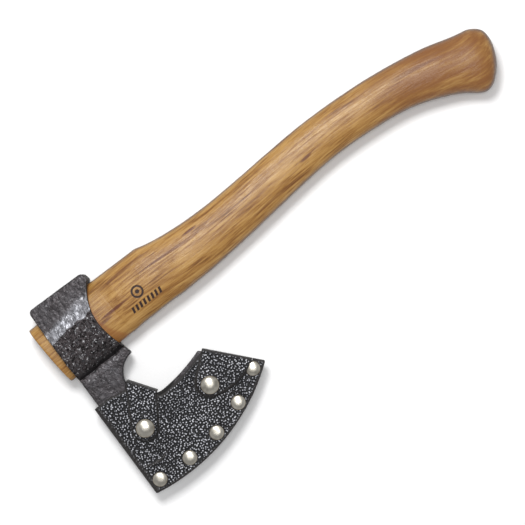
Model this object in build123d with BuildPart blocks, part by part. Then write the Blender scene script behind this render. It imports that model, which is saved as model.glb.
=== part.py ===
from build123d import *
from math import cos, radians, sin, sqrt, tan
import os

# Hatchet with a riveted leather blade sheath, lying on its side.
# +X runs along the eye and the handle towards the knob, +Y points to the poll and
# +Z is square to the cheeks. The origin is under the middle of the eye, on the flat
# of the lower cheek. Lengths are in millimetres and angles in degrees.

# ---- head ----
head_thickness = 31.0        # across the two cheek flats
cheek_flat_width = 14.0      # flat strip along the crest of each cheek
poll_reach = 36.3            # eye axis to the poll face
poll_skew = 2.3              # the poll face leans back towards the handle
poll_thickness = 23.0        # across the poll face
poll_shoulder = 26.5         # thickness where the poll's corners start to be drawn in
poll_bevel = 5.5             # depth of the drawn in corners
poll_end_x = 32.2            # grip side corner of the poll
ear_x = 33.3                 # widest point of the head on the grip side
ear_y = 28.5
waist_x = 19.0               # grip side edge beside the middle of the eye
spur_x = 24.0                # tip of the spur below the eye
spur_y = -37.5
top_x = -20.0                # tenon side edge beside the middle of the eye
toe_tilt = 2.5               # lean of the tenon side edge, seen from the poll
crease_y = -30.0             # where the eye's bulge runs out on the blade
blade_root = 11.3            # blade thickness below the eye
cheek_taper = 2.74           # lean of each blade cheek
grind_turn = 11.5            # the cheeks thin out in this direction, towards the heel
blade_reach = 121.7          # eye axis to the cutting edge
edge_radius = 147.0          # curve of the cutting edge
edge_centre_x = 4.5
edge_land = 0.4              # thickness left at the cutting edge
bevel_angle = 9.0            # each side of the cutting bevel
notch_radius = 19.9          # round of the notch behind the beard
notch_x = 25.2
notch_y = -55.3
beard_tip_x = 64.5
beard_tip_y = -68.5
heel_lean = 49.5             # direction of the heel's end, below +X
corner_rounding = 1.2        # small corners of the head in plan
poll_rounding = 3.5          # corners of the poll in plan
eye_length = 51.4
eye_width = 22.0

# ---- handle and wedge ----
handle_length = 421.3        # tenon end to knob
tenon_proud = 6.9            # tenon standing out of the eye
eye_fit = 0.02               # clearance round the tenon and round the wedge
shoulder_width = 50.4
shoulder_thickness = 27.0
throat_width = 44.4
throat_thickness = 27.5
grip_width = 35.6
grip_thickness = 25.0
knob_width = 50.6
knob_thickness = 30.6
knob_depth = 15.4            # crown of the knob's end
wedge_depth = 34.0
wedge_top = 4.4
wedge_foot = 1.2
wedge_inset = 3.0            # wedge stops short of the tenon's two sides

# ---- sheath ----
leather = 2.2
steel_gap = 0.3              # leather to steel
flap_gap = 0.3               # leather to leather on the next body
fold_gap = 1.7               # toe side edge of the blade to the inside of the fold
fold_bevel = 2.2             # the two long corners of the fold
welt_thickness = 3.7
welt_gap = 2.0               # cutting edge to the welt
welt_fit = 0.02              # welt to the panels
seam_margin = 17.2           # sheath outside the cutting edge
mouth_y = -54.0              # mouth at the fold
mouth_lean = 6.0
mouth_stop_x = 1.5
notch_inset = 2.4            # steel left showing along the notch
upper_flap_width = 25.0
upper_fold_turn = 213.5      # direction of the upper flap's fold from the notch's centre
lower_flap_width = 39.8
lower_flap_start = 3.2       # beard tip to the lower flap's fold
flap_lift = 2.3              # underside of a flap above the front panel
upper_tip_radius = 10.3      # round end of the upper flap about its press stud

# ---- rivets and press studs ----
rivet_first = -57.0          # angle about the centre of the cutting edge's curve
rivet_pitch = 10.55
rivet_margins = (9.6, 9.8, 9.1, 8.0, 8.6)  # rivets outside the cutting edge, heel to toe
rivet_cap_radius = 5.75
rivet_cap_rim = 0.5
rivet_cap_height = 1.8
rivet_back_radius = 5.0
rivet_back_height = 1.2
rivet_post_radius = 1.6
rivet_pin_radius = 0.9
rivet_pin_length = 4.0
snap_cap_radius = 7.15
snap_cap_rim = 0.8
snap_cap_height = 2.5
snap_shank_radius = 1.4
snap_flange_radius = 4.6
snap_flange = 0.6
stud_knob_radius = 2.8
stud_neck_radius = 2.4
stud_knob_top = 2.5          # above the front panel
socket_radius = 5.4
socket_foot = 0.75           # underside of the socket above the front panel
socket_sink = 0.7            # socket let into the flap
metal_fit = 0.04             # clearance between metal pieces and round their holes
upper_snap = (-28.4, -12.6)  # press stud from the middle of the flap's fold
lower_snap = (-24.0, 8.5)

# ---- sizes that follow ----
overhang = 200.0             # runs clear past the solids
mid_z = head_thickness / 2
edge_centre = Vector(edge_centre_x, edge_radius - blade_reach)
notch_centre = Vector(notch_x, notch_y)
beard_tip = Vector(beard_tip_x, beard_tip_y)
heel_along = Vector(cos(radians(heel_lean)), -sin(radians(heel_lean)))
heel_out = Vector(sin(radians(heel_lean)), cos(radians(heel_lean)))
grind = Vector(sin(radians(grind_turn)), -cos(radians(grind_turn)))
taper = tan(radians(cheek_taper))
cheek_at_axis = blade_root / 2 - crease_y * cos(radians(grind_turn)) * taper
tenon_end_x = top_x - tenon_proud
panel_face = steel_gap + leather               # outer face of a panel over the steel
welt_half = welt_thickness / 2
panel_half = welt_half + leather               # half the sheath where the welt is


# ---- geometry in plan ----
def toe_line(y, outside=0.0):
    """A point of the blade's toe side edge, or of a line outside it."""
    return Vector(top_x + y * tan(radians(toe_tilt)) - outside, y)


def poll_line(x):
    """A point of the poll face."""
    return Vector(x, poll_reach - x * tan(radians(poll_skew)))


def on_arc(centre, radius, angle):
    """A point of a circle, its angle taken from +X."""
    return centre + Vector(cos(radians(angle)), sin(radians(angle))) * radius


def run_out(start, direction, radius):
    """Where a line from start leaves a circle about the edge's centre."""
    across = start - edge_centre
    along = across.dot(direction)
    return start + direction * (sqrt(along**2 - across.length**2 + radius**2) - along)


def direction_of(first, second):
    return (second - first).normalized()


def round_corners(sketch, corners, radius):
    """Round the corners of a sketch that lie nearest to the given points."""
    for corner in corners:
        fillet(sketch.vertices().sort_by_distance(corner)[0], radius)


# ---- geometry across the blade ----
# Plane square to the grind lines: x along the grind, y upwards from mid thickness.
grind_plane = Plane(
    origin=(0, 0, mid_z), x_dir=(grind.X, grind.Y, 0), z_dir=(grind.Y, -grind.X, 0)
)
slab_start = -overhang / 4
slab_stop = 0.97 * cheek_at_axis / taper       # just before the two cheeks would meet


def cheek_line(side, extra, flat=None):
    """Section of a surface that follows a cheek, extra outside it.

    side is 1 over the front cheek and -1 under the back one. With flat given, the
    surface runs level once it has come down to that half thickness.
    """
    first = (slab_start, side * (cheek_at_axis - slab_start * taper + extra))
    if flat is None:
        return [first, (slab_stop, side * (cheek_at_axis - slab_stop * taper + extra))]
    bend = (cheek_at_axis + extra - flat) / taper
    return [first, (bend, side * flat), (overhang, side * flat)]


def slab(lower, upper):
    """The space between two such surfaces, right across the blade."""
    with BuildPart() as space:
        with BuildSketch(grind_plane):
            with BuildLine():
                Polyline(*lower, *reversed(upper), close=True)
            make_face()
        extrude(amount=overhang, both=True)
    return space.part


def panel_plane(point):
    """Plane on the front panel's outer face at a point in plan."""
    height = cheek_at_axis - point.dot(grind) * taper + panel_face
    return Plane(
        origin=(point.X, point.Y, mid_z + height),
        x_dir=(grind.X, grind.Y, -taper),
        z_dir=(grind.X * taper, grind.Y * taper, 1),
    )


def axial(plane):
    """The plane through another plane's z axis, with that axis as its y."""
    return Plane(origin=plane.origin, x_dir=plane.x_dir, z_dir=plane.x_dir.cross(plane.z_dir))


def turned(plane, outline):
    """A piece turned about the plane's z axis from a list of (radius, height) points."""
    with BuildPart() as piece:
        with BuildSketch(axial(plane)):
            with BuildLine():
                Polyline(*outline, close=True)
            make_face()
        revolve(axis=Axis(plane.origin, plane.z_dir))
    return piece.part


def domed_cap(plane, radius, rim, height, shank_radius, shank_length):
    """A domed cap standing on the plane, with a shank down through it."""
    with BuildPart() as piece:
        with BuildSketch(axial(plane)):
            with BuildLine():
                shoulder = (radius * 0.72, rim + (height - rim) * 0.62)
                ThreePointArc((0, height), shoulder, (radius, rim))
                Polyline(
                    (radius, rim), (radius, 0), (shank_radius, 0),
                    (shank_radius, -shank_length), (0, -shank_length), (0, height)
                )
            make_face()
        revolve(axis=Axis(plane.origin, plane.z_dir))
    return piece.part


def bore(plane, radius, bottom, top):
    """A round hole along the plane's z axis."""
    return turned(plane, [(0, bottom), (radius, bottom), (radius, top), (0, top)])


def save(part, name):
    """Label a finished piece and write it."""
    part.label = name
    export_step(part, f"parts/{name}.step")


os.makedirs("parts", exist_ok=True)

# ---- axe head ----
poll_top = poll_line(toe_line(poll_reach).X)
poll_end = poll_line(poll_end_x)
spur = Vector(spur_x, spur_y)
heel_point = run_out(beard_tip, heel_along, edge_radius)
toe_point = run_out(toe_line(0), direction_of(toe_line(0), toe_line(-1)), edge_radius)
notch_start = on_arc(notch_centre, notch_radius, 172)
notch_end = on_arc(notch_centre, notch_radius, 272)

with BuildPart() as head_prism:
    with BuildSketch() as head_plan:
        with BuildLine():
            Line(toe_point, poll_top)
            Line(poll_top, poll_end)
            Line(poll_end, (ear_x, ear_y))
            Spline((ear_x, ear_y), (waist_x + 7, 19.5), (waist_x + 0.4, 3), (waist_x + 0.3, -14), spur)
            ThreePointArc(spur, (notch_x - 13.8, notch_y + 12.8), notch_start)
            ThreePointArc(notch_start, on_arc(notch_centre, notch_radius, 225), notch_end)
            ThreePointArc(notch_end, (notch_end + beard_tip) / 2 + (0, -1.4), beard_tip)
            Line(beard_tip, heel_point)
            ThreePointArc(heel_point, on_arc(edge_centre, edge_radius, -85), toe_point)
        make_face()
        round_corners(head_plan, [poll_top, poll_end], poll_rounding)
        round_corners(head_plan, [(ear_x, ear_y), spur, beard_tip], corner_rounding)
    extrude(amount=head_thickness)

with BuildPart() as eye_block:
    section_plane = Plane(origin=(-overhang / 2, 0, mid_z), x_dir=(0, 1, 0), z_dir=(1, 0, 0))
    with BuildSketch(section_plane):
        crest = cheek_flat_width / 2
        foot = blade_root / 2
        rise = mid_z - foot
        with BuildLine():
            Bezier(
                (crease_y - 1, foot - 0.6), (crease_y + 5, foot + 0.6 * rise),
                (crease_y * 0.55, mid_z), (-crest, mid_z)
            )
            Polyline(
                (-crest, mid_z), (crest, mid_z), (poll_reach - poll_bevel, poll_shoulder / 2),
                (poll_reach + 2, poll_thickness / 2), (poll_reach + 2, 0), (crease_y - 1, 0),
                (crease_y - 1, foot - 0.6)
            )
        make_face()
        mirror(about=Plane.XZ)
    extrude(amount=overhang)

with BuildPart() as bevels:
    reach = 2 * head_thickness
    lip = edge_land / 2
    rise = lip + reach * tan(radians(bevel_angle))
    with BuildSketch(axial(Plane(origin=(edge_centre.X, edge_centre.Y, mid_z)))):
        Polygon(
            (0, -reach), (edge_radius - reach, -reach), (edge_radius - reach, -rise),
            (edge_radius, -lip), (edge_radius, lip), (edge_radius - reach, rise),
            (edge_radius - reach, reach), (0, reach), align=None
        )
    revolve(axis=Axis((edge_centre.X, edge_centre.Y, 0), (0, 0, 1)))

with BuildPart() as axe_head:
    add(slab(cheek_line(-1, 0), cheek_line(1, 0)))
    add(bevels.part, mode=Mode.INTERSECT)
    add(eye_block.part)
    add(head_prism.part, mode=Mode.INTERSECT)
    with BuildSketch(section_plane):
        Ellipse(eye_length / 2, eye_width / 2)
    extrude(amount=overhang, mode=Mode.SUBTRACT)
save(axe_head.part, "axe_head")

# ---- handle and its wedge ----
grip_start = ear_x + 1.0
grip_run = tenon_end_x + handle_length - grip_start
# Sections down the handle: share of the grip, middle in y, lean, width and thickness.
handle_sections = [
    (0.000, 0.0, 0.0, eye_length, eye_width),
    (0.028, -0.1, 0.0, shoulder_width + 0.4, (eye_width + shoulder_thickness) / 2),
    (0.056, -0.3, 0.0, shoulder_width + 0.1, shoulder_thickness - 1.0),
    (0.084, -0.4, 0.0, shoulder_width, shoulder_thickness),
    (0.112, -0.6, 0.0, shoulder_width - 0.2, shoulder_thickness),
    (0.133, -1.9, 0.0, shoulder_width - 1.8, shoulder_thickness),
    (0.161, -3.0, 0.0, throat_width + 2.0, throat_thickness),
    (0.197, -4.0, 0.0, throat_width, throat_thickness),
    (0.295, -4.3, 0.0, 40.8, 26.6),
    (0.433, -1.6, 0.0, 38.2, 25.6),
    (0.572, 0.7, 0.0, grip_width + 0.6, grip_thickness),
    (0.697, -2.0, 6.0, 36.2, 25.6),
    (0.807, -8.5, 15.0, 38.2, 27.2),
    (0.877, -16.5, 21.5, 42.6, 29.2),
    (0.925, -24.0, 25.5, 47.4, 30.2),
    (0.949, -28.2, 23.3, knob_width, knob_thickness),
]
# Sections closing the knob: depth, shift towards the back, share of width and of thickness.
knob_sections = [
    (0.33, 0.5, 0.94, 0.95),
    (0.60, 1.8, 0.81, 0.84),
    (0.82, 3.0, 0.58, 0.62),
    (0.96, 3.3, 0.28, 0.30),
]


def handle_plane(share, middle, lean):
    """Plane square to the handle: x across its width, y across its thickness."""
    along = Vector(cos(radians(lean)), -sin(radians(lean)), 0)
    across = Vector(sin(radians(lean)), cos(radians(lean)), 0)
    return Plane(origin=(grip_start + share * grip_run, middle, mid_z), x_dir=across, z_dir=along)


def wedge_outline(clearance):
    """Section of the wedge along the tenon, x along the eye and y through it."""
    top = wedge_top / 2 + clearance
    foot = wedge_foot / 2 + clearance
    depth = wedge_depth + clearance
    return [(0, -top), (depth, -foot), (depth, foot), (0, top)]


wedge_plane = Plane(origin=(tenon_end_x, 0, mid_z), x_dir=(1, 0, 0), z_dir=(0, -1, 0))
wedge_half = eye_length / 2 - wedge_inset

with BuildPart() as handle:
    with BuildSketch(Plane(origin=(tenon_end_x, 0, mid_z), x_dir=(0, 1, 0), z_dir=(1, 0, 0))):
        Ellipse(eye_length / 2 - eye_fit, eye_width / 2 - eye_fit)
    extrude(amount=grip_start - tenon_end_x)
    for share, middle, lean, width, thickness in handle_sections:
        with BuildSketch(handle_plane(share, middle, lean)):
            Ellipse(width / 2 - eye_fit, thickness / 2 - eye_fit)
    knob_plane = handle_plane(*handle_sections[-1][:3])
    for depth, shift, width_share, thickness_share in knob_sections:
        with BuildSketch(knob_plane.offset(depth * knob_depth)):
            with Locations((shift, 0)):
                Ellipse(width_share * knob_width / 2, thickness_share * knob_thickness / 2)
    loft()
    with BuildSketch(wedge_plane):
        Polygon(*wedge_outline(eye_fit), align=None)
    extrude(amount=wedge_half + eye_fit, both=True, mode=Mode.SUBTRACT)
save(handle.part, "handle")

with BuildPart() as eye_wedge:
    with BuildSketch(wedge_plane):
        Polygon(*wedge_outline(0), align=None)
    extrude(amount=wedge_half, both=True)
save(eye_wedge.part, "eye_wedge")

# ---- folds of the two flaps ----
fold_reach = sqrt((notch_radius - steel_gap) ** 2 - (upper_flap_width / 2) ** 2)
upper_out = on_arc(Vector(0, 0), -1, upper_fold_turn)
upper_fold = on_arc(notch_centre, fold_reach, upper_fold_turn)
lower_fold = beard_tip + heel_along * (lower_flap_start + lower_flap_width / 2)
lower_fold += heel_out * steel_gap


def fold_plane(middle, outward):
    """Plane at a fold's inner face: x out of the notch or heel, y along the fold."""
    return Plane(origin=(middle.X, middle.Y, 0), x_dir=(outward.X, outward.Y, 0), z_dir=(0, 0, 1))


def place(plane, x, y):
    """A point of that plane in plan."""
    point = plane.from_local_coords((x, y, 0))
    return Vector(point.X, point.Y)


upper_plane = fold_plane(upper_fold, upper_out)
lower_plane = fold_plane(lower_fold, heel_out)
upper_snap_plane = panel_plane(place(upper_plane, *upper_snap))
lower_snap_plane = panel_plane(place(lower_plane, *lower_snap))
snap_planes = {"upper": upper_snap_plane, "lower": lower_snap_plane}

# ---- rivet places ----
seam_radius = edge_radius + seam_margin
rivet_points = [
    on_arc(edge_centre, edge_radius + margin, rivet_first - rivet_pitch * place_number)
    for place_number, margin in enumerate(rivet_margins)
]
rivet_planes = [
    Plane(origin=(point.X, point.Y, mid_z + panel_half)) for point in rivet_points
]

# ---- folded sheath leather ----
fold_outside = fold_gap + leather
mouth_start = toe_line(mouth_y, fold_outside)
mouth_drop = (mouth_stop_x - mouth_start.X) * tan(radians(mouth_lean))
mouth_end = Vector(mouth_stop_x, mouth_y - mouth_drop)
upper_half = upper_flap_width / 2
lower_half = lower_flap_width / 2
upper_fold_top = place(upper_plane, -flap_gap, upper_half)
upper_fold_low = place(upper_plane, -flap_gap, -upper_half)
show_start = on_arc(notch_centre, notch_radius + notch_inset, 257)
show_middle = on_arc(notch_centre, notch_radius + notch_inset, 263)
show_low = on_arc(notch_centre, notch_radius + notch_inset, 273)
show_tip = beard_tip + heel_along * notch_inset - heel_out * notch_inset * 0.6
lower_fold_top = place(lower_plane, -flap_gap, lower_half)
lower_fold_low = place(lower_plane, -flap_gap, -lower_half - flap_gap)
ear_start = place(lower_plane, leather, -lower_half - flap_gap)
ear_end = run_out(ear_start, heel_along, seam_radius)
toe_corner = run_out(mouth_start, direction_of(toe_line(0), toe_line(-1)), seam_radius)

with BuildPart() as sheath_prism:
    with BuildSketch() as sheath_plan:
        with BuildLine():
            Polyline(toe_corner, mouth_start, mouth_end, upper_fold_top, upper_fold_low, show_start)
            ThreePointArc(show_start, show_middle, show_low)
            ThreePointArc(show_low, (show_low + show_tip) / 2 + (0, -1.2), show_tip)
            Polyline(show_tip, lower_fold_top, lower_fold_low, ear_start, ear_end)
            ThreePointArc(ear_end, on_arc(edge_centre, seam_radius, -85), toe_corner)
        make_face()
        round_corners(sheath_plan, [ear_end, mouth_end], corner_rounding)
    extrude(amount=head_thickness)

with BuildPart() as sheath_hollow:
    with BuildSketch():
        inner_toe = [toe_line(y, fold_gap) for y in (overhang, -overhang)]
        Polygon(*inner_toe, (overhang, -overhang), (overhang, overhang), align=None)
    extrude(amount=head_thickness)
    add(
        slab(cheek_line(-1, steel_gap, welt_half), cheek_line(1, steel_gap, welt_half)),
        mode=Mode.INTERSECT,
    )

with BuildPart() as sheath_leather:
    add(sheath_prism.part)
    add(
        slab(cheek_line(-1, panel_face, panel_half), cheek_line(1, panel_face, panel_half)),
        mode=Mode.INTERSECT,
    )
    toe_face = sheath_leather.faces().filter_by(GeomType.PLANE).sort_by(Axis.X)[0]
    chamfer(toe_face.edges().filter_by(Axis.Z, reverse=True), fold_bevel)
    add(sheath_hollow.part, mode=Mode.SUBTRACT)
    for rivet_plane in rivet_planes:
        add(
            bore(rivet_plane, rivet_post_radius + metal_fit, -2 * panel_half - 1, 1),
            mode=Mode.SUBTRACT,
        )
    for snap_plane in snap_planes.values():
        add(
            turned(snap_plane, [
                (0, -leather - 1), (snap_flange_radius + metal_fit, -leather - 1),
                (snap_flange_radius + metal_fit, -leather + snap_flange + metal_fit),
                (snap_shank_radius + metal_fit, -leather + snap_flange + metal_fit),
                (snap_shank_radius + metal_fit, 1), (0, 1),
            ]),
            mode=Mode.SUBTRACT,
        )
save(sheath_leather.part, "sheath_leather")

# ---- welt between the panels along the cutting edge ----
with BuildPart() as sheath_welt:
    with BuildSketch(Plane.XY.offset(mid_z)):
        add(sheath_plan.sketch)
        with Locations(edge_centre):
            Circle(edge_radius + welt_gap, mode=Mode.SUBTRACT)
        outer_toe = [toe_line(y, fold_gap - welt_fit) for y in (overhang, -overhang)]
        Polygon(*outer_toe, (-overhang, -overhang), (-overhang, overhang), align=None, mode=Mode.SUBTRACT)
    extrude(amount=welt_half - welt_fit, both=True)
    for rivet_plane in rivet_planes:
        add(
            bore(rivet_plane, rivet_post_radius + metal_fit, -2 * panel_half - 1, 1),
            mode=Mode.SUBTRACT,
        )
save(sheath_welt.part, "sheath_welt")


# ---- flaps that fold round the steel and button on the front panel ----
def flap(plane, half_width, outline, snap_plane):
    """A flap from its outline in the fold's plane, x from 0 inwards to the press stud."""
    with BuildPart() as leg_space:
        with BuildSketch(plane):
            Rectangle(overhang, overhang, align=(Align.MAX, Align.CENTER))
        extrude(amount=head_thickness)
        add(slab(cheek_line(-1, 3 * leather), cheek_line(1, panel_face + flap_lift)),
            mode=Mode.INTERSECT)
    with BuildPart() as piece:
        with BuildSketch(plane):
            add(outline)
            Rectangle(leather, 2 * half_width, align=(Align.MIN, Align.CENTER))
        extrude(amount=head_thickness)
        add(slab(cheek_line(-1, panel_face), cheek_line(1, panel_face + flap_lift + leather)),
            mode=Mode.INTERSECT)
        add(leg_space.part, mode=Mode.SUBTRACT)
        add(
            turned(snap_plane, [
                (0, 0), (socket_radius + metal_fit, 0),
                (socket_radius + metal_fit, flap_lift + socket_sink + metal_fit),
                (snap_shank_radius + metal_fit, flap_lift + socket_sink + metal_fit),
                (snap_shank_radius + metal_fit, flap_lift + leather + 1),
                (0, flap_lift + leather + 1),
            ]),
            mode=Mode.SUBTRACT,
        )
    return piece.part


with BuildSketch() as upper_outline:
    with Locations(upper_snap):
        Circle(upper_tip_radius)
    with BuildLine():
        Line((0, -upper_half), (0, upper_half))
    make_hull()

with BuildSketch() as lower_outline:
    with BuildLine():
        Line((0, lower_half), (-22.9, 20.3))
        ThreePointArc((-22.9, 20.3), (-32.3, 14.3), (-33.3, 5.6))
        ThreePointArc((-33.3, 5.6), (-21.2, -9.3), (0, -lower_half))
        Line((0, -lower_half), (0, lower_half))
    make_face()

save(flap(upper_plane, upper_half, upper_outline.sketch, upper_snap_plane), "upper_flap")
save(flap(lower_plane, lower_half, lower_outline.sketch, lower_snap_plane), "lower_flap")

# ---- press studs: cap and socket on the flap, stud and post on the front panel ----
cap_seat = flap_lift + leather
socket_top = flap_lift + socket_sink
for side, snap_plane in snap_planes.items():
    seat = snap_plane.offset(cap_seat)
    shank = cap_seat - socket_top + 0.25
    cap = domed_cap(seat, snap_cap_radius, snap_cap_rim, snap_cap_height, snap_shank_radius, shank)
    save(cap, f"{side}_snap_cap")
    socket = turned(snap_plane, [
        (snap_shank_radius + metal_fit, socket_top),
        (snap_shank_radius + metal_fit, stud_knob_top + metal_fit),
        (stud_knob_radius + metal_fit, stud_knob_top + metal_fit),
        (stud_knob_radius + metal_fit, socket_foot), (socket_radius, socket_foot),
        (socket_radius, socket_top),
    ])
    save(socket, f"{side}_snap_socket")
    stud = turned(snap_plane, [
        (snap_shank_radius + metal_fit, 0), (snap_flange_radius, 0), (snap_flange_radius, snap_flange),
        (stud_neck_radius, snap_flange), (stud_neck_radius, snap_flange + 0.6),
        (stud_knob_radius, snap_flange + 1.1), (stud_knob_radius, stud_knob_top - 0.4),
        (stud_neck_radius, stud_knob_top), (snap_shank_radius + metal_fit, stud_knob_top),
    ])
    save(stud, f"{side}_snap_stud")
    flange_face = -leather + snap_flange
    post = turned(snap_plane, [
        (0, -leather), (snap_flange_radius, -leather), (snap_flange_radius, flange_face),
        (snap_shank_radius, flange_face), (snap_shank_radius, stud_knob_top - 0.2),
        (0, stud_knob_top - 0.2),
    ])
    save(post, f"{side}_snap_post")

# ---- double cap rivets through both panels and the welt ----
for number, rivet_plane in enumerate(rivet_planes, start=1):
    cap = domed_cap(
        rivet_plane, rivet_cap_radius, rivet_cap_rim, rivet_cap_height, rivet_pin_radius,
        rivet_pin_length,
    )
    save(cap, f"rivet_cap_{number}")
    under = Plane(origin=rivet_plane.origin - (0, 0, 2 * panel_half), x_dir=(1, 0, 0), z_dir=(0, 0, -1))
    depth = 2 * panel_half
    bottom = rivet_pin_length + 1
    hollow = rivet_pin_radius + metal_fit
    post = turned(under, [
        (0, rivet_back_height), (rivet_back_radius * 0.7, rivet_back_height * 0.8),
        (rivet_back_radius, rivet_back_height * 0.3), (rivet_back_radius, 0),
        (rivet_post_radius, 0), (rivet_post_radius, metal_fit - depth), (hollow, metal_fit - depth),
        (hollow, bottom - depth), (0, bottom - depth),
    ])
    save(post, f"rivet_post_{number}")
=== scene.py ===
import math

import bmesh
import bpy
import numpy as np
from mathutils import Matrix, Vector, kdtree


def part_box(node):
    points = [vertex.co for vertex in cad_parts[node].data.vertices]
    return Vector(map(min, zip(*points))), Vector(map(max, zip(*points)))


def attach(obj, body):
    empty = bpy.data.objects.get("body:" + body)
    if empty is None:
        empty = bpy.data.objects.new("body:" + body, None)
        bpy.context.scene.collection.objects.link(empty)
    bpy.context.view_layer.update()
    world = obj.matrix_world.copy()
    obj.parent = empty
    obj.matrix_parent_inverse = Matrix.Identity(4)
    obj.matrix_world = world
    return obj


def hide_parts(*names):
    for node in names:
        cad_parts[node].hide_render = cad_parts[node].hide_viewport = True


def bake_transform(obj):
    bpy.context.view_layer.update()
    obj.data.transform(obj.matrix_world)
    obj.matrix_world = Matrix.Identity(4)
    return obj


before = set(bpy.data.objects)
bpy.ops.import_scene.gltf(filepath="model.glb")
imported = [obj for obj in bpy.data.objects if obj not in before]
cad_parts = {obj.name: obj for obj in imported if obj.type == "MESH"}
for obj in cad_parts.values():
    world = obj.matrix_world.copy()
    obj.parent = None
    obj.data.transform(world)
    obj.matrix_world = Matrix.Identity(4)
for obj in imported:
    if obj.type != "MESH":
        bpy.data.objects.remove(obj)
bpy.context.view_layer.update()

# Hatchet in its leather sheath, lying on its side. The bpy side is in metres; the arrays
# of vertices in this file are in millimetres, in the CAD's frame.
MM = 0.001
MID_Z = 15.5                   # middle of the head's thickness
HEAD_BACK_X = -20.5            # face of the head that the tenon stands out of
TENON_PROUD = 6.4              # how far the tenon stands out
CREASE_Y = -29.9               # crease between the cheek and the blade
EYE_HALF = (26.4, 11.4)        # half of the eye's opening, with a little room, in y and z
NOTCH = (25.2, -55.3)          # centre of the notch behind the beard

# ---- camera: straight down on the object, through a long lens ----
VIEW_WIDTH = 409.5 * MM
VIEW_CENTRE = Vector((147.1, -46.5, MID_Z)) * MM
VIEW_UP = Vector((0.6252, 0.7804, 0.0))

scene = bpy.context.scene
camera = bpy.data.objects.new("camera", bpy.data.cameras.new("camera"))
scene.collection.objects.link(camera)
scene.camera = camera
camera.data.sensor_width = 36.0
camera.data.lens = 120.0
VIEW_AWAY = VIEW_WIDTH * camera.data.lens / camera.data.sensor_width
camera.matrix_world = Matrix.Translation(VIEW_CENTRE + Vector((0, 0, VIEW_AWAY))) @ Matrix((
    VIEW_UP.cross(Vector((0, 0, 1))), VIEW_UP, Vector((0, 0, 1))
)).transposed().to_4x4()

# ---- light: a soft key from the poll side, a lamp overhead and a pale room, darker above ----
scene.view_settings.view_transform = "Standard"
world = bpy.data.worlds.new("room")
scene.world = world
world.use_nodes = True
room = world.node_tree
direction = room.nodes.new("ShaderNodeTexCoord")
split = room.nodes.new("ShaderNodeSeparateXYZ")
room.links.new(direction.outputs["Generated"], split.inputs[0])
shade = room.nodes.new("ShaderNodeValToRGB")
shade.color_ramp.elements[0].position = 0.72
shade.color_ramp.elements[0].color = (0.54, 0.54, 0.545, 1)
shade.color_ramp.elements[1].position = 0.93
shade.color_ramp.elements[1].color = (0.16, 0.16, 0.165, 1)
room.links.new(split.outputs["Z"], shade.inputs[0])
room.links.new(shade.outputs[0], room.nodes["Background"].inputs["Color"])
room.nodes["Background"].inputs["Strength"].default_value = 1.0


def softbox(name, place, size, power):
    """A square lamp aimed at the middle of the object."""
    lamp = bpy.data.objects.new(name, bpy.data.lights.new(name, "AREA"))
    lamp.data.shape = "SQUARE"
    lamp.data.size = size
    lamp.data.energy = power
    lamp.location = VIEW_CENTRE + Vector(place)
    lamp.rotation_euler = (-Vector(place)).to_track_quat("-Z", "Y").to_euler()
    scene.collection.objects.link(lamp)


softbox("key", (0.14, 0.52, 1.10), 0.36, 11.5)
softbox("top", (0.02, 0.02, 1.60), 0.34, 6.6)

floor = bpy.data.objects.new("floor", bpy.data.meshes.new("floor"))
scene.collection.objects.link(floor)


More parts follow.
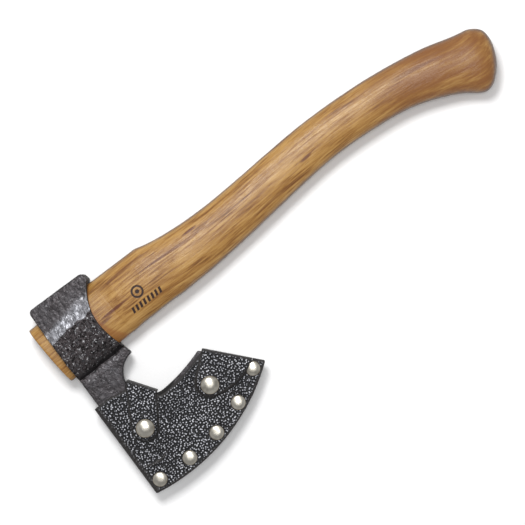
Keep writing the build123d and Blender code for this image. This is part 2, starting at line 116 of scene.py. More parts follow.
# ---- node trees ----
class Shade:
    """A material's node tree, with short calls that add nodes to it."""

    def __init__(self, name):
        self.material = bpy.data.materials.new(name)
        self.material.use_nodes = True
        self.tree = self.material.node_tree
        self.shader = self.tree.nodes["Principled BSDF"]

    def add(self, kind, inputs, output=0, **settings):
        node = self.tree.nodes.new(kind)
        for key, value in settings.items():
            setattr(node, key, value)
        for key, value in inputs.items():
            self.put(node.inputs[key], value)
        return node.outputs[output]

    def put(self, socket, value):
        if isinstance(value, bpy.types.NodeSocket):
            self.tree.links.new(value, socket)
        else:
            socket.default_value = value

    def surface(self, **inputs):
        for key, value in inputs.items():
            self.put(self.shader.inputs[key.replace("_", " ")], value)
        return self.material

    def read(self, name, output="Fac"):
        return self.add("ShaderNodeAttribute", {}, output, attribute_name=name)

    def math(self, operation, a, b=0.0, clamp=False):
        return self.add("ShaderNodeMath", {0: a, 1: b}, operation=operation, use_clamp=clamp)

    def span(self, value, low, high, first=0.0, last=1.0):
        """The value's share of the way from low to high, eased, as a number from first to last."""
        names = {"Value": value, "From Min": low, "From Max": high, "To Min": first, "To Max": last}
        return self.add("ShaderNodeMapRange", names, interpolation_type="SMOOTHSTEP")

    def stretched(self, vector, *divisors):
        factors = [1 / d for d in divisors]
        return self.add("ShaderNodeVectorMath", {0: vector, 1: factors}, operation="MULTIPLY")

    def noise(self, vector, scale, detail=2.0, roughness=0.5):
        names = {"Vector": vector, "Scale": scale, "Detail": detail, "Roughness": roughness}
        return self.add("ShaderNodeTexNoise", names)

    def cells(self, vector, scale, feature="F1", dimensions="3D"):
        return self.add(
            "ShaderNodeTexVoronoi", {"Vector": vector, "Scale": scale, "Randomness": 0.85},
            feature=feature, voronoi_dimensions=dimensions,
        )

    def ramp(self, factor, *stops):
        output = self.add("ShaderNodeValToRGB", {0: factor})
        elements = output.node.color_ramp.elements
        while len(elements) < len(stops):
            elements.new(0.5)
        for element, (position, colour) in zip(elements, stops):
            element.position = position
            element.color = (*colour, 1)
        return output

    def mix(self, factor, first, second):
        output = self.add("ShaderNodeMix", {0: factor}, 2, data_type="RGBA")
        for socket, colour in ((6, first), (7, second)):
            fixed = not isinstance(colour, bpy.types.NodeSocket)
            self.put(output.node.inputs[socket], (*colour, 1) if fixed else colour)
        return output

    def bump(self, height, distance, strength=1.0, normal=None):
        """Relief of a height from 0 to 1 that stands distance metres tall."""
        names = {"Height": height, "Distance": distance, "Strength": strength}
        if normal is not None:
            names["Normal"] = normal
        return self.add("ShaderNodeBump", names)


PEBBLE = 2.05                  # pitch of the leather's pebbles


def leather_material():
    s = Shade("pebbled_leather")
    rest = s.read("rest", "Vector")
    pebbled_unshaded = s.read("pebbled_unshaded")
    worn = s.read("worn")
    pebble = s.cells(rest, 1 / PEBBLE, dimensions="2D")
    dome = s.span(pebble, 0.62, 0.12)
    fine = s.noise(rest, 1.6, 4.0, 0.6)
    broad = s.noise(rest, 0.05, 3.0)
    # Painted highlight: the pebbles' tops are painted light grey where lamps would glint on them,
    # varied at random.
    pebble_highlight = s.math("MULTIPLY", dome, s.span(s.noise(rest, 0.45, 3.0, 0.6), 0.35, 0.62, 0.62, 1.0))
    pebble_highlight = s.math("MULTIPLY", pebble_highlight, s.span(broad, 0.35, 0.60, 0.86, 1.0))
    tops = s.ramp(
        pebble_highlight, (0.0, (0.001, 0.001, 0.002)), (0.36, (0.010, 0.010, 0.012)),
        (0.62, (0.120, 0.122, 0.134)), (1.0, (0.66, 0.67, 0.71)),
    )
    burnished = s.ramp(fine, (0.3, (0.006, 0.005, 0.005)), (0.7, (0.020, 0.017, 0.016)))
    # Where this mask is low the leather takes the dark burnished colour; along the flaps' edges
    # that is painted shade.
    colour = s.mix(pebbled_unshaded, burnished, tops)
    colour = s.mix(worn, colour, (0.060, 0.055, 0.052))
    gloss = s.span(dome, 0.1, 0.9, 0.50, 0.17)
    gloss = s.math("ADD", gloss, s.span(broad, 0.3, 0.7, 0.0, 0.08))
    gloss = s.math("MAXIMUM", gloss, s.span(pebbled_unshaded, 0.0, 0.7, 0.62, 0.10))
    relief = s.math("MULTIPLY", dome, pebbled_unshaded)
    grain = s.bump(fine, 0.00010, 0.7)
    return s.surface(
        Base_Color=colour, Roughness=gloss, Specular_IOR_Level=0.35,
        Normal=s.bump(relief, 0.00075, 1.0, grain),
    )


def steel_material():
    s = Shade("forged_steel")
    rest = s.read("rest", "Vector")
    smooth_and_lit = s.read("smooth_and_lit")
    ground = s.read("ground")
    coarse = s.read("coarse")
    shaded = s.read("shaded")
    broad = s.noise(rest, 0.09, 4.0, 0.6)
    patch = s.noise(rest, 0.34, 5.0, 0.72)
    fine = s.noise(rest, 0.75, 6.0, 0.72)
    pits = s.span(s.cells(rest, 0.50), 0.05, 0.40)
    scale_colour = s.ramp(
        patch, (0.36, (0.002, 0.002, 0.002)), (0.44, (0.024, 0.021, 0.021)),
        (0.52, (0.070, 0.059, 0.061)), (0.62, (0.040, 0.042, 0.045)),
    )
    even = s.ramp(broad, (0.35, (0.018, 0.015, 0.016)), (0.65, (0.046, 0.043, 0.046)))
    scale_colour = s.mix(s.span(coarse, 0.0, 1.0, 0.70, 0.0), scale_colour, even)
    glint = s.span(s.noise(rest, 0.45, 4.0, 0.7), 0.57, 0.68)
    glint = s.math("MULTIPLY", glint, s.span(coarse, 0.0, 1.0, 0.12, 1.0))
    scale_colour = s.mix(glint, scale_colour, (0.60, 0.60, 0.62))
    # Painted highlight: the lit band on the cheek, with a little of the poll and blade, is painted
    # in a much lighter steel; the same mask also makes that steel smoother.
    clean_and_lit = s.ramp(
        patch, (0.36, (0.13, 0.13, 0.145)), (0.46, (0.22, 0.225, 0.245)),
        (0.62, (0.38, 0.385, 0.415)),
    )
    colour = s.mix(smooth_and_lit, scale_colour, clean_and_lit)
    lines = s.noise(s.stretched(rest, 0.35, 6.0, 6.0), 1.0, 3.0)
    bright = s.ramp(lines, (0.3, (0.42, 0.42, 0.43)), (0.7, (0.58, 0.58, 0.59)))
    colour = s.mix(ground, colour, bright)
    colour = s.mix(shaded, colour, (0.008, 0.007, 0.007))
    least = s.span(ground, 0.0, 1.0, 0.28, 0.33)
    most = s.span(ground, 0.0, 1.0, 0.58, 0.37)
    matt = s.span(fine, 0.3, 0.7, least, most)
    gloss = s.math("SUBTRACT", matt, s.math("MULTIPLY", smooth_and_lit, 0.12))
    gloss = s.math("MAXIMUM", gloss, s.math("MULTIPLY", shaded, 0.85))
    relief = s.math("ADD", s.math("MULTIPLY", fine, 0.6), s.math("MULTIPLY", pits, 0.45))
    for mask, none, full in ((smooth_and_lit, 1.0, 0.55), (coarse, 0.15, 1.15), (ground, 1.0, 0.02)):
        relief = s.math("MULTIPLY", relief, s.span(mask, 0.0, 1.0, none, full))
    return s.surface(
        Base_Color=colour, Metallic=s.span(shaded, 0.2, 0.9, 0.82, 0.10), Roughness=gloss,
        Normal=s.bump(relief, 0.00110, 1.0),
    )


RING = (57.5, -3.4, 4.3)       # burned ring on the handle: x, y, radius
BARS = (44.0, 73.6, -13.1, 3.7)  # burned bars: first x, last x, y, pitch


def burned_mark(s, rest):
    """Where the plain ring and the row of bars are burned in, from 0 to 1."""
    x, y, z = (s.add("ShaderNodeSeparateXYZ", {0: rest}, axis) for axis in "XYZ")
    blur = s.math("MULTIPLY", s.math("SUBTRACT", s.noise(rest, 1.4, 3.0), 0.5), 0.5)
    run = s.math("SUBTRACT", x, RING[0])
    rise = s.math("SUBTRACT", y, RING[1])
    radius = s.math("SQRT", s.math("ADD", s.math("POWER", run, 2.0), s.math("POWER", rise, 2.0)))
    off_ring = s.math("ABSOLUTE", s.math("SUBTRACT", radius, RING[2]))
    off_dot = s.math("SUBTRACT", radius, 0.9)
    ring = s.span(s.math("ADD", s.math("MINIMUM", off_ring, off_dot), blur), 1.0, 0.6)
    slant = s.math("ADD", x, s.math("MULTIPLY", y, -0.25))
    cell = s.math("FRACT", s.math("DIVIDE", s.math("SUBTRACT", slant, BARS[0]), BARS[3]))
    off_bar = s.math("MULTIPLY", s.math("ABSOLUTE", s.math("SUBTRACT", cell, 0.5)), BARS[3])
    bar = s.span(s.math("ADD", off_bar, blur), 1.2, 0.8)
    level = s.math("ABSOLUTE", s.math("SUBTRACT", y, BARS[2]))
    bar = s.math("MULTIPLY", bar, s.span(level, 2.5, 2.1))
    middle = (BARS[0] + BARS[1]) / 2
    reach = s.math("ABSOLUTE", s.math("SUBTRACT", x, middle))
    bar = s.math("MULTIPLY", bar, s.span(reach, middle - BARS[0] + 0.2, middle - BARS[0] - 0.2))
    return s.math("MULTIPLY", s.math("MAXIMUM", ring, bar), s.span(z, MID_Z, MID_Z + 2.0))


# Dark streaks in the wood: x, distance across the grain, half length, half width, strength.
STREAKS = (
    (34.0, -3.0, 14.0, 1.6, 1.0), (22.0, -6.0, 9.0, 1.6, 0.8), (118.0, 10.8, 8.0, 1.1, 1.0),
    (224.0, -4.1, 6.0, 1.3, 0.9), (96.0, 6.0, 30.0, 1.5, 0.5), (60.0, 17.0, 34.0, 1.6, 0.45),
    (190.0, -12.0, 32.0, 1.5, 0.45), (330.0, 4.0, 24.0, 2.0, 0.5),
)


def wood_material():
    s = Shade("oiled_wood")
    rest = s.read("rest", "Vector")
    grain = s.read("grain", "Vector")
    x, across = (s.add("ShaderNodeSeparateXYZ", {0: grain}, axis) for axis in "XY")
    swirl = s.noise(s.stretched(grain, 70.0, 11.0, 16.0), 1.0, 2.0)
    years = s.math("ADD", s.math("DIVIDE", across, 5.6), s.math("MULTIPLY", swirl, 4.6))
    years = s.math("SINE", s.math("MULTIPLY", years, 2 * math.pi))
    streak = s.noise(s.stretched(grain, 60.0, 5.0, 7.0), 1.0, 5.0, 0.60)
    fibre = s.noise(s.stretched(grain, 26.0, 1.3, 1.3), 1.0, 4.0, 0.70)
    pores = s.noise(s.stretched(grain, 10.0, 0.65, 0.6), 1.0, 3.0, 0.6)
    tone = s.math("ADD", s.math("MULTIPLY", years, 0.03), s.math("MULTIPLY", streak, 0.85))
    tone = s.math("ADD", tone, s.math("MULTIPLY", s.math("SUBTRACT", fibre, 0.42), 0.85))
    colour = s.ramp(
        tone, (0.26, (0.120, 0.046, 0.010)), (0.38, (0.225, 0.100, 0.022)),
        (0.50, (0.325, 0.170, 0.044)), (0.68, (0.430, 0.250, 0.080)),
    )
    colour = s.mix(s.span(pores, 0.40, 0.26, 0.0, 0.70), colour, (0.11, 0.045, 0.014))
    knob_end = s.math("MULTIPLY", s.span(x, 250.0, 350.0), s.span(streak, 0.70, 0.35, 0.35, 0.95))
    colour = s.mix(knob_end, colour, (0.200, 0.078, 0.022))
    for at, side, length, width, strength in STREAKS:
        run = s.math("DIVIDE", s.math("SUBTRACT", x, at), length)
        wander = s.math("MULTIPLY", s.math("SUBTRACT", swirl, 0.5), 4.0)
        rise = s.math("DIVIDE", s.math("ADD", s.math("SUBTRACT", across, side), wander), width)
        away = s.math("ADD", s.math("POWER", run, 2.0), s.math("POWER", rise, 2.0))
        away = s.math("ADD", away, s.math("MULTIPLY", s.math("SUBTRACT", fibre, 0.5), 1.6))
        colour = s.mix(s.span(away, 1.3, 0.2, 0.0, strength), colour, (0.115, 0.035, 0.012))
    # Painted shade: the handle darkens towards its sides as they turn away from the view.
    side_shade = s.add("ShaderNodeLayerWeight", {"Blend": 0.5}, "Facing")
    colour = s.mix(s.span(side_shade, 0.30, 0.80, 0.0, 0.88), colour, (0.060, 0.026, 0.008))
    burn = burned_mark(s, rest)
    colour = s.mix(burn, colour, (0.022, 0.008, 0.006))
    # Painted shade on the handle beside the head's grip-side edge, and a darker tenon end face.
    colour = s.mix(s.read("shade_at_head"), colour, (0.24, 0.085, 0.020))
    relief = s.math("ADD", s.math("MULTIPLY", pores, 0.7), s.math("MULTIPLY", fibre, 0.8))
    relief = s.math("SUBTRACT", relief, s.math("MULTIPLY", burn, 0.6))
    gloss = s.math("ADD", s.span(fibre, 0.3, 0.7, 0.44, 0.30), s.math("MULTIPLY", burn, 0.2))
    return s.surface(
        Base_Color=colour, Roughness=gloss, Specular_IOR_Level=0.38,
        Normal=s.bump(relief, 0.00022, 1.0),
    )


def wedge_material():
    s = Shade("wedge_wood")
    place = s.add("ShaderNodeTexCoord", {}, "Object")
    streak = s.noise(s.stretched(place, 30 * MM, 2.0 * MM, 1.2 * MM), 1.0, 5.0, 0.6)
    colour = s.ramp(
        streak, (0.3, (0.24, 0.13, 0.05)), (0.5, (0.42, 0.26, 0.11)), (0.7, (0.52, 0.34, 0.17)),
    )
    return s.surface(
        Base_Color=colour, Roughness=s.span(streak, 0.3, 0.7, 0.7, 0.5),
        Normal=s.bump(streak, 0.0003, 0.8),
    )


def metal_material(name, dark, light, coordinates):
    """Worn plated metal; its texture takes the rest attribute or the object's own place."""
    s = Shade(name)
    if coordinates == "rest":
        place = s.read("rest", "Vector")
    else:
        place = s.stretched(s.add("ShaderNodeTexCoord", {}, "Object"), MM, MM, MM)
    cloud = s.noise(place, 0.22, 3.0, 0.5)
    scratch = s.noise(s.stretched(place, 4.0, 0.35, 4.0), 1.0, 3.0, 0.6)
    colour = s.ramp(cloud, (0.32, dark), (0.62, light))
    if coordinates == "rest":
        colour = s.mix(s.read("rim"), colour, (0.42, 0.31, 0.17))
    relief = s.math("ADD", s.math("MULTIPLY", cloud, 0.7), s.math("MULTIPLY", scratch, 0.3))
    return s.surface(
        Base_Color=colour, Metallic=1.0, Roughness=s.span(cloud, 0.3, 0.7, 0.38, 0.30),
        Normal=s.bump(relief, 0.00010, 0.5),
    )


LEATHER = leather_material()
STEEL = steel_material()
WOOD = wood_material()
WEDGE_WOOD = wedge_material()
CAPS = metal_material("nickel_caps", (0.33, 0.31, 0.265), (0.58, 0.555, 0.49), "rest")
NICKEL = metal_material("nickel", (0.50, 0.48, 0.43), (0.74, 0.71, 0.65), "own")
BRASS = metal_material("brass", (0.45, 0.30, 0.11), (0.68, 0.48, 0.20), "own")

paper = Shade("paper")
speck = paper.noise(paper.add("ShaderNodeTexCoord", {}, "Object"), 900.0, 3.0)
FLOOR_PAINT = paper.surface(
    Base_Color=paper.ramp(speck, (0.3, (0.895, 0.895, 0.895)), (0.7, (0.915, 0.915, 0.915))),
    Roughness=0.9, Specular_IOR_Level=0.2,
)
sheet = bmesh.new()
bmesh.ops.create_grid(sheet, x_segments=1, y_segments=1, size=6.0)
sheet.to_mesh(floor.data)
sheet.free()
floor.data.materials.append(FLOOR_PAINT)


# ---- vertices as arrays, in millimetres ----
def read_vertices(mesh, name, scale):
    flat = np.empty(3 * len(mesh.vertices), np.float32)
    mesh.vertices.foreach_get(name, flat)
    return flat.reshape(-1, 3).astype(float) * scale


def points_of(mesh):
    return read_vertices(mesh, "co", 1 / MM)


def normals_of(mesh):
    return read_vertices(mesh, "normal", 1)


def move_points(mesh, points):
    mesh.vertices.foreach_set("co", (points * MM).astype(np.float32).ravel())
    mesh.update()


def store(mesh, name, values):
    """Keep a number or a vector for each vertex, for the material to read."""
    kind = "FLOAT_VECTOR" if values.ndim == 2 else "FLOAT"
    attribute = mesh.attributes.new(name, kind, "POINT")
    key = "vector" if values.ndim == 2 else "value"
    attribute.data.foreach_set(key, values.astype(np.float32).ravel())


def eased(values, low, high):
    """0 at low, 1 at high and smooth between, for an array."""
    share = np.clip((values - low) / (high - low), 0, 1)
    return share * share * (3 - 2 * share)


def bell(values, width):
    return np.exp(-((values / width) ** 2))


def texture(piece, kind, pitch, stretch=(1, 1, 1), **settings):
    """A procedural texture's value at each vertex; pitch is its size in millimetres."""
    tree = bpy.data.node_groups.new("texture", "GeometryNodeTree")
    for side in ("INPUT", "OUTPUT"):
        tree.interface.new_socket("Geometry", in_out=side, socket_type="NodeSocketGeometry")
    start = tree.nodes.new("NodeGroupInput")
    stop = tree.nodes.new("NodeGroupOutput")
    place = tree.nodes.new("GeometryNodeInputPosition")
    scaled = tree.nodes.new("ShaderNodeVectorMath")
    scaled.operation = "MULTIPLY"
    scaled.inputs[1].default_value = [1 / (MM * pitch * share) for share in stretch]
    pattern = tree.nodes.new("ShaderNodeTex" + kind)
    for key, value in settings.items():
        if hasattr(pattern, key):
            setattr(pattern, key, value)
        else:
            pattern.inputs[key].default_value = value
    pattern.inputs["Scale"].default_value = 1.0
    keep = tree.nodes.new("GeometryNodeStoreNamedAttribute")
    keep.data_type = "FLOAT"
    keep.inputs["Name"].default_value = "texture"
    tree.links.new(place.outputs[0], scaled.inputs[0])
    tree.links.new(scaled.outputs[0], pattern.inputs["Vector"])
    tree.links.new(pattern.outputs[0], keep.inputs["Value"])
    tree.links.new(start.outputs[0], keep.inputs["Geometry"])
    tree.links.new(keep.outputs[0], stop.inputs[0])
    modifier = piece.modifiers.new("texture", "NODES")
    modifier.node_group = tree
    made = piece.evaluated_get(bpy.context.evaluated_depsgraph_get()).data
    values = np.empty(len(made.vertices), np.float32)
    made.attributes["texture"].data.foreach_get("value", values)
    piece.modifiers.remove(modifier)
    bpy.data.node_groups.remove(tree)
    return values.astype(float)


def noise(piece, pitch, detail=2.0, stretch=(1, 1, 1)):
    """Noise about 0, mostly between -1 and 1."""
    return 4 * (texture(piece, "Noise", pitch, stretch, Detail=detail) - 0.5)


def add_piece(name, mesh, material, nodes):
    piece = bpy.data.objects.new(name, mesh)
    scene.collection.objects.link(piece)
    mesh.materials.clear()
    mesh.materials.append(material)
    mesh.shade_smooth()
    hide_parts(*nodes)
    return piece


def skinned(name, node, voxel, softening, material):
    """An even, closed mesh over a CAD node, with its corners softened, ready to be shaped."""
    shell = bmesh.new()
    shell.from_mesh(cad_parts[node].data)
    bmesh.ops.remove_doubles(shell, verts=shell.verts, dist=1e-6)
    source = bpy.data.objects.new("source", bpy.data.meshes.new("source"))
    shell.to_mesh(source.data)
    shell.free()
    scene.collection.objects.link(source)
    skin = source.modifiers.new("skin", "REMESH")
    skin.mode = "VOXEL"
    skin.voxel_size = voxel * MM
    soft = source.modifiers.new("soft", "SMOOTH")
    soft.iterations = softening
    evaluated = source.evaluated_get(bpy.context.evaluated_depsgraph_get())
    mesh = bpy.data.meshes.new_from_object(evaluated)
    bpy.data.objects.remove(source)
    mesh.name = name
    piece = add_piece(name, mesh, material, [node])
    store(mesh, "rest", points_of(mesh))
    return piece


def centre_of(node):
    low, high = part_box(node)
    middle = (low + high) / (2 * MM)
    return middle.x, middle.y


# ---- head ----
EDGE_CENTRE = (4.5, 25.3)      # centre of the cutting edge's curve
EDGE_RADIUS = 147.0
BEVEL_WIDTH = 8.0              # ground bevel behind the cutting edge
SEAT_RADIUS = 22.4             # painted shade on the steel by the flap's seat reaches this far from the notch's centre


def edge_run(points):
    """How far inside the cutting edge each point is."""
    return EDGE_RADIUS - np.hypot(points[:, 0] - EDGE_CENTRE[0], points[:, 1] - EDGE_CENTRE[1])


def shape_head():
    piece = skinned("head", "axe_head", 0.45, 3, STEEL)
    mesh = piece.data
    p, n = points_of(mesh), normals_of(mesh)
    x, y = p[:, 0], p[:, 1]
    side = np.sign(p[:, 2] - MID_Z)
    face = eased(np.abs(n[:, 2]), 0.45, 0.8)
    in_eye = (y / EYE_HALF[0]) ** 2 + ((p[:, 2] - MID_Z) / EYE_HALF[1]) ** 2 < 1
    outside = np.where(in_eye, 0.0, 1.0)
    wander = noise(piece, 9.0, 3.0)
    broad, medium, small = noise(piece, 13.0), noise(piece, 4.2, 3.0), noise(piece, 1.5, 3.0)
    pit = texture(piece, "Voronoi", 3.4)
    dent = texture(piece, "Voronoi", 11.0, feature="SMOOTH_F1")
    band_start = 6.5 + 2.0 * wander + 0.05 * x
    band_stop = 16.7 + 1.6 * wander + 0.14 * x
    band = eased(y, band_start - 0.5, band_start + 0.5)
    band *= 1 - eased(y, band_stop - 3.0, band_stop + 3.0)
    facet = -math.tan(math.radians(7.0)) * np.clip(y - band_start, 0, 12)
    facet *= 1 - eased(y, 18.0, 34.0)
    hollow = eased(y, -29.5, -25.0) * (1 - eased(y, band_start - 1.4, band_start))
    rough = 0.55 + 0.40 * medium + 0.30 * small + 0.45 * (1 - eased(pit, 0.0, 0.35))
    crease = CREASE_Y + 0.9 * wander
    groove = (1.1 + 0.3 * medium) * bell(y - crease, 0.9 + 0.25 * broad)
    groove += 0.4 * bell(y - crease + 1.6, 2.2)
    below = 1 - eased(y, -33.0, -30.0)
    shown = eased(y, -60.0, -52.0)
    poll = eased(y, 17.0, 20.0)
    down = facet - hollow * rough - groove
    down += below * shown * (0.16 * medium + 0.05 * small) + below * 0.05 * broad
    scar = np.clip(medium - 0.55, 0, 1)
    down -= poll * 0.5 * scar
    down += poll * (0.20 * medium + 0.05 * small + 0.25 * (dent - 0.5) + 0.14 * broad)
    down += band * (0.10 * medium + 0.05 * small + 0.16 * broad)
    height = p[:, 2] + side * face * outside * down
    wall = (1 - face) * outside * eased(y, -60.0, -45.0)
    p[:, :2] += (n[:, :2].T * wall * (0.14 * medium + 0.06 * small - 0.08)).T
    p[:, 2] = np.clip(height, 0.05, 2 * MID_Z - 0.05)
    move_points(mesh, p)
    run = edge_run(p)
    bevel = (1 - eased(run, BEVEL_WIDTH, BEVEL_WIDTH + 1.6)) * (y < -60)
    # Mask of the smoother steel that also carries the painted highlight band on the cheek.
    smooth_and_lit = band * (0.66 + 0.35 * broad) + 0.03 * poll + below * (0.05 + 0.06 * broad)
    # Painted shade on the steel around the notch, beside the flap's seat.
    notch = np.hypot(p[:, 0] - NOTCH[0], p[:, 1] - NOTCH[1])
    shaded = 1 - eased(notch, SEAT_RADIUS, SEAT_RADIUS + 1.2)
    shaded *= (p[:, 1] < -50) * eased(p[:, 0], 15.0, 21.0)
    store(mesh, "smooth_and_lit", np.clip(smooth_and_lit, 0, 1))
    store(mesh, "coarse", np.clip(hollow + 0.25 * below * bell(p[:, 1] + 33, 6.0), 0, 1))
    # Painted shade on the head's side walls, which darkens its outline.
    rim = 0.85 * (1 - eased(np.abs(n[:, 2]), 0.30, 0.70)) * (bevel == 0)
    store(mesh, "shaded", np.maximum(shaded, rim))
    store(mesh, "ground", bevel)
    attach(piece, "axe")


# ---- handle ----
# Heights wanted beside the eye, at stations along x: the upper edge over y = 0, and the
# front over mid thickness.
UPPER_EDGE = ((31.0, 78.0), (25.5, 24.2))
FRONT_SIDE = ((31.0, 36.0, 44.0, 54.0, 66.0, 78.0), (10.95, 11.2, 12.2, 13.0, 13.5, 13.55))
EAR_X = 19.0                   # the head's edge on the grip side, at the eye's axis
TENON_LEAN = 1.6               # the tenon's end is cut this much out of square
TENON_HALF = 25.0              # half of the tenon's width


def centreline(points, step=4.0):
    """The handle's middle in y at each point, from its own outline."""
    bins = np.arange(points[:, 0].min(), points[:, 0].max() + step, step)
    index = np.clip(np.digitize(points[:, 0], bins) - 1, 0, len(bins) - 2)
    middles = []
    for number in range(len(bins) - 1):
        across = points[index == number, 1]
        middles.append((across.min() + across.max()) / 2 if len(across) else middles[-1])
    middles = np.convolve(np.pad(middles, 3, mode="edge"), np.ones(7) / 7, mode="valid")
    return np.interp(points[:, 0], bins[:-1] + step / 2, middles)


def iron(points, axis, middle, stations, heights):
    """Bring the handle's upper or front side to the heights wanted at the stations along it."""
    bins = np.arange(stations[0], stations[-1] + 1.0, 1.0)
    index = np.digitize(points[:, 0], bins)
    tops = [points[index == number, axis].max() - middle for number in range(1, len(bins))]
    wanted = np.interp(bins[:-1] + 0.5, stations, heights)
    lift = np.interp(points[:, 0], bins[:-1] + 0.5, wanted - tops, left=0.0, right=0.0)
    lift *= 1 - eased(points[:, 0], stations[-1] - 6.0, stations[-1])
    share = (points[:, axis] - middle) / heights[-1]
    points[:, axis] += lift * (np.clip(share, 0, 1) if axis == 1 else np.clip(share, -1, 1))


def ear_line(y):
    """Roughly where the head's grip side edge crosses the handle."""
    return EAR_X + 14.0 * (np.clip(np.abs(y), 0, 28) / 28) ** 2


def shape_handle():
    piece = skinned("handle_grip", "handle", 0.7, 3, WOOD)
    mesh = piece.data
    p, n = points_of(mesh), normals_of(mesh)
    iron(p, 1, 0.0, *UPPER_EDGE)
    iron(p, 2, MID_Z, *FRONT_SIDE)
    middle = centreline(p)
    grip = eased(p[:, 0], 40.0, 75.0)
    tenon = (p[:, 0] < HEAD_BACK_X) & (np.abs(n[:, 0]) < 0.5)
    broad, fine = noise(piece, 34.0), noise(piece, 1.6, 3.0, (9, 1, 1))
    squared = 0.75 * np.clip(2 * np.abs(n[:, 1] * n[:, 2]), 0, 1) ** 2
    out = grip * (squared + 0.18 * broad) + 0.04 * fine * (p[:, 0] > 36) + 0.10 * fine * tenon
    in_eye = (p[:, 0] > HEAD_BACK_X) & (p[:, 0] < EAR_X)
    out[in_eye] = 0.0
    low, high = p[:, 2].min(), p[:, 2].max()
    p += n * out[:, None]
    p[:, 2] = np.clip(p[:, 2], low, high)
    proud = np.clip((HEAD_BACK_X - p[:, 0]) / TENON_PROUD, 0, 1)
    p[:, 0] -= TENON_LEAN * proud * np.clip((p[:, 1] + TENON_HALF) / (2 * TENON_HALF), 0, 1)
    move_points(mesh, p)
    grain = np.stack([p[:, 0], p[:, 1] - 0.62 * middle, p[:, 2] - MID_Z], axis=1)
    socket = ear_line(p[:, 1])
    # Painted shade in a band on the handle just outside the head's grip-side edge.
    shade_at_head = 1.6 * (1 - eased(p[:, 0] - socket, 0.0, 2.6 + 1.5 * broad)) * (p[:, 0] > 5)
    end_face = 0.35 * eased(-n[:, 0], 0.6, 0.9) * (p[:, 0] < -24)
    store(mesh, "grain", grain)
    store(mesh, "shade_at_head", np.clip(0.4 * shade_at_head + end_face, 0, 1))
    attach(piece, "axe")


# ---- leather ----
PANEL_AT_AXIS = 9.557          # panel's outer face over mid thickness, on the eye's axis
PANEL_TAPER = 0.04786
PANEL_FLAT = 4.05              # where it lies on the welt
GRIND = (0.19937, -0.97992)    # the panels thin out in this direction
LEATHER_THICK = 2.2
FLAP_LIFT = 2.3                # the CAD's flaps over the panel
FLAP_REST = 0.30               # a flap over the panel away from its press stud
CAP_NODES = [f"rivet_cap_{number}" for number in range(1, 6)]
SHELL_BORDER = (0.9, 2.6)      # plain margin at an edge: where pebbles start and are full
FLAP_BORDERS = {"upper": (0.5, 1.4), "lower": (0.9, 1.9)}
FLAP_WALLS = []                # the flaps' outlines, for the painted shade along them on the panel


def panel_face(points):
    """Height of the front panel's outer face over mid thickness."""
    run = points[:, 0] * GRIND[0] + points[:, 1] * GRIND[1]
    return np.maximum(PANEL_AT_AXIS - PANEL_TAPER * run, PANEL_FLAT)


def distance_to(walls, points):
    """Distance of each point to the nearest of the walls' points."""
    tree = kdtree.KDTree(len(walls))
    for number, wall in enumerate(walls):
        tree.insert(wall, number)
    tree.balance()
    return np.array([tree.find(point)[2] for point in points])


def around(points, node):
    x, y = centre_of(node)
    return np.hypot(points[:, 0] - x, points[:, 1] - y)


def dress_leather(piece, outer, presses, border):
    """Raise the pebbles on the outer faces, round the edges and press in the metal."""
    mesh = piece.data
    p, n = points_of(mesh), normals_of(mesh)
    away = distance_to(p[np.abs(n[:, 2]) < 0.5][::2], p)
    top = outer * eased(np.abs(n[:, 2]), 0.75, 0.93)
    pebbled_unshaded = top * eased(away, *border)
    pebble = texture(piece, "Voronoi", PEBBLE, voronoi_dimensions="2D", Randomness=0.85)
    broad, fine = noise(piece, 15.0), noise(piece, 2.0, 3.0)
    out = pebbled_unshaded * 0.26 * (1 - eased(pebble, 0.10, 0.62)) - 0.05 * top
    out += 0.16 * broad * top * eased(away, 1.0, 4.0) + 0.05 * fine * outer
    out -= 0.35 * top * bell(away, 0.7)
    for node in presses:
        radius = around(p, node)
        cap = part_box(node)
        size = (cap[1].x - cap[0].x) / (2 * MM)
        out -= 0.30 * top * bell(radius - size - 0.3, 1.1)
        pebbled_unshaded *= eased(radius, size - 0.2, size + 0.8)
    return p, n, out, pebbled_unshaded


def shape_sheath():
    piece = skinned("sheath_shell", "sheath_leather", 0.5, 2, LEATHER)
    mesh = piece.data
    points = points_of(mesh)
    middle = panel_face(points) - LEATHER_THICK / 2
    outer = (np.abs(points[:, 2] - MID_Z) > middle).astype(float)
    p, n, out, pebbled_unshaded = dress_leather(piece, outer, CAP_NODES, SHELL_BORDER)
    imprint = bell(edge_run(p) - 4.2 - 0.02 * (p[:, 0] + 14) ** 2, 0.75)
    imprint *= bell(p[:, 0] + 13.0, 10.0) * (p[:, 1] < -100) * outer
    out += 0.45 * imprint
    front = p[:, 2] > MID_Z
    # Painted shade: along the flaps' edges the panel loses its pebbles to the dark burnished
    # colour, as if shaded by the flaps.
    beside = distance_to(np.concatenate(FLAP_WALLS)[::2] * (1, 1, 0), p * (1, 1, 0))
    pebbled_unshaded *= np.where(front, eased(beside, 0.2, 1.5), 1.0)
    toe = p[:, 0] - (-23.9 + 0.04366 * p[:, 1])
    pebbled_unshaded *= eased(toe, 1.8, 6.5)
    p += n * out[:, None]
    p[:, 1] += 1.3 * bell(p[:, 0] + 12.5, 7.5) * eased(p[:, 1], -66.0, -57.0)
    move_points(mesh, p)
    store(mesh, "pebbled_unshaded", pebbled_unshaded * (1 - 0.8 * imprint))
    store(mesh, "worn", 0.55 * imprint * front)
    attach(piece, "sheath")


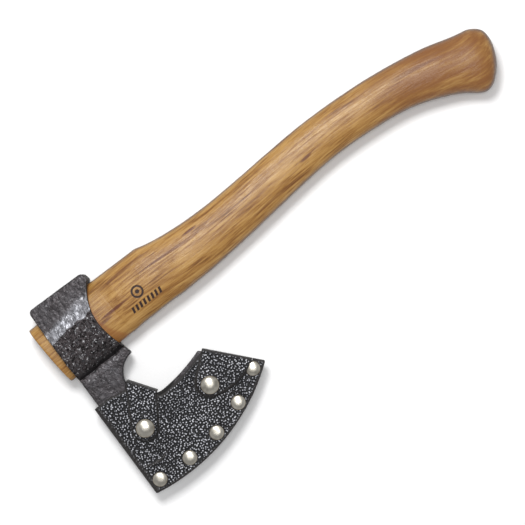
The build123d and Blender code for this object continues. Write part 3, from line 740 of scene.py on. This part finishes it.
def shape_flap(side):
    """A flap that lies close to the panel, except where its press stud holds it off."""
    piece = skinned(f"{side}_flap_strap", f"{side}_flap", 0.42, 2, LEATHER)
    mesh = piece.data
    points = points_of(mesh)
    leg = MID_Z + panel_face(points) + FLAP_LIFT
    outer = (points[:, 2] > leg + LEATHER_THICK / 2).astype(float)
    cap = f"{side}_snap_cap"
    p, n, out, pebbled_unshaded = dress_leather(piece, outer, [cap], FLAP_BORDERS[side])
    FLAP_WALLS.append(p[(np.abs(n[:, 2]) < 0.5) & (p[:, 2] > MID_Z)])
    held = 1 - eased(around(p, cap), 7.0, 12.5)
    share = np.clip((p[:, 2] - MID_Z - 2) / (leg - MID_Z - 2), 0, 1)
    p += n * out[:, None]
    p[:, 2] -= (FLAP_LIFT - FLAP_REST) * (1 - held) * share
    move_points(mesh, p)
    store(mesh, "pebbled_unshaded", pebbled_unshaded)
    store(mesh, "worn", np.zeros(len(p)))
    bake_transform(piece)


def shape_welt():
    piece = skinned("sheath_welt_strip", "sheath_welt", 0.5, 2, LEATHER)
    mesh = piece.data
    p, n = points_of(mesh), normals_of(mesh)
    wall = np.abs(n[:, 2]) < 0.5
    layers = noise(piece, 2.0, 3.0, (4, 4, 1))
    p += n * (wall * (0.10 * layers - 0.25))[:, None]
    move_points(mesh, p)
    store(mesh, "pebbled_unshaded", np.zeros(len(p)))
    store(mesh, "worn", np.clip(wall * (0.35 + 0.3 * layers), 0, 1))
    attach(piece, "sheath")


# ---- caps of the rivets and press studs ----
TURN_STEPS = 72
DOME_STEPS = 14
RIM_TOP = 0.76                 # height of the rolled rim
# Radius, height, shank radius and shank length of a rivet's cap and of a press stud's cap.
RIVET_CAP = (5.75, 1.8, 0.9, 4.0)
SNAP_CAP = (7.15, 2.5, 1.4, 1.7)


def turned(name, node, seat, axis, profile, body):
    """A cap turned from (radius, height, rim) points about its axis."""
    side = axis.orthogonal().normalized()
    other = axis.cross(side)
    angles = np.linspace(0, 2 * math.pi, TURN_STEPS, endpoint=False)
    ring = np.outer(np.cos(angles), side) + np.outer(np.sin(angles), other)
    points, rims, faces = [], [], []
    for radius, height, rim in profile:
        points.append(np.array(seat) + radius * ring + height * np.array(axis))
        rims.append(np.full(TURN_STEPS, float(rim)))
    for row in range(len(profile) - 1):
        for step in range(TURN_STEPS):
            after = (step + 1) % TURN_STEPS
            low, high = row * TURN_STEPS, (row + 1) * TURN_STEPS
            faces.append((low + step, low + after, high + after, high + step))
    points = np.concatenate(points)
    faces.append(tuple(reversed(range(TURN_STEPS))))
    faces.append(tuple(range(len(points) - TURN_STEPS, len(points))))
    mesh = bpy.data.meshes.new(name)
    mesh.from_pydata((points * MM).tolist(), [], faces)
    piece = add_piece(name, mesh, CAPS, [node])
    store(mesh, "rest", points)
    store(mesh, "rim", np.concatenate(rims))
    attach(piece, body)


def cap_profile(radius, height, shank_radius, shank_length):
    """Shank, underside, rolled rim and dome of a cap."""
    profile = [(0.05, -shank_length, 0), (shank_radius, -shank_length, 0), (shank_radius, 0.02, 0)]
    profile += [(radius * 0.93, 0.02, 1), (radius * 0.985, 0.10, 1), (radius, 0.30, 1)]
    profile += [(radius * 0.99, 0.50, 0.8), (radius * 0.965, 0.66, 0.4)]
    profile += [(radius * 0.93, RIM_TOP, 0.1)]
    for number in range(1, DOME_STEPS + 1):
        share = math.cos(math.radians(90 * number / DOME_STEPS))
        rise = (height - RIM_TOP) * (1 - share ** 2.8) ** 0.85
        profile.append((max(radius * 0.93 * share, 0.05), RIM_TOP + rise, 0))
    return profile


SNAP_NORMAL = Vector((PANEL_TAPER * GRIND[0], PANEL_TAPER * GRIND[1], 1)).normalized()


def add_caps():
    profile, axis = cap_profile(*RIVET_CAP), Vector((0, 0, 1))
    for number, node in enumerate(CAP_NODES, start=1):
        x, y = centre_of(node)
        seat = Vector((x, y, MID_Z + PANEL_FLAT))
        turned(f"rivet_head_{number}", node, seat, axis, profile, "sheath")
    for side in ("upper", "lower"):
        node = f"{side}_snap_cap"
        x, y = centre_of(node)
        crown = Vector((x, y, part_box(node)[1].z / MM))
        seat = crown - SNAP_NORMAL * SNAP_CAP[1]
        profile = cap_profile(*SNAP_CAP)
        turned(f"{side}_snap_head", node, seat, SNAP_NORMAL, profile, f"{side}_strap")


shape_head()
shape_handle()
shape_flap("upper")
shape_flap("lower")
shape_sheath()
shape_welt()
add_caps()

# ---- CAD nodes shown as they are ----
for node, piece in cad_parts.items():
    if piece.hide_render:
        continue
    finish, slot = NICKEL, "nickel"
    if node == "eye_wedge":
        finish, slot = WEDGE_WOOD, "wedge_wood"
    elif node.endswith(("_socket", "_stud", "_snap_post")):
        finish, slot = BRASS, "brass"
    piece.data.materials.clear()
    piece.data.materials.append(finish)
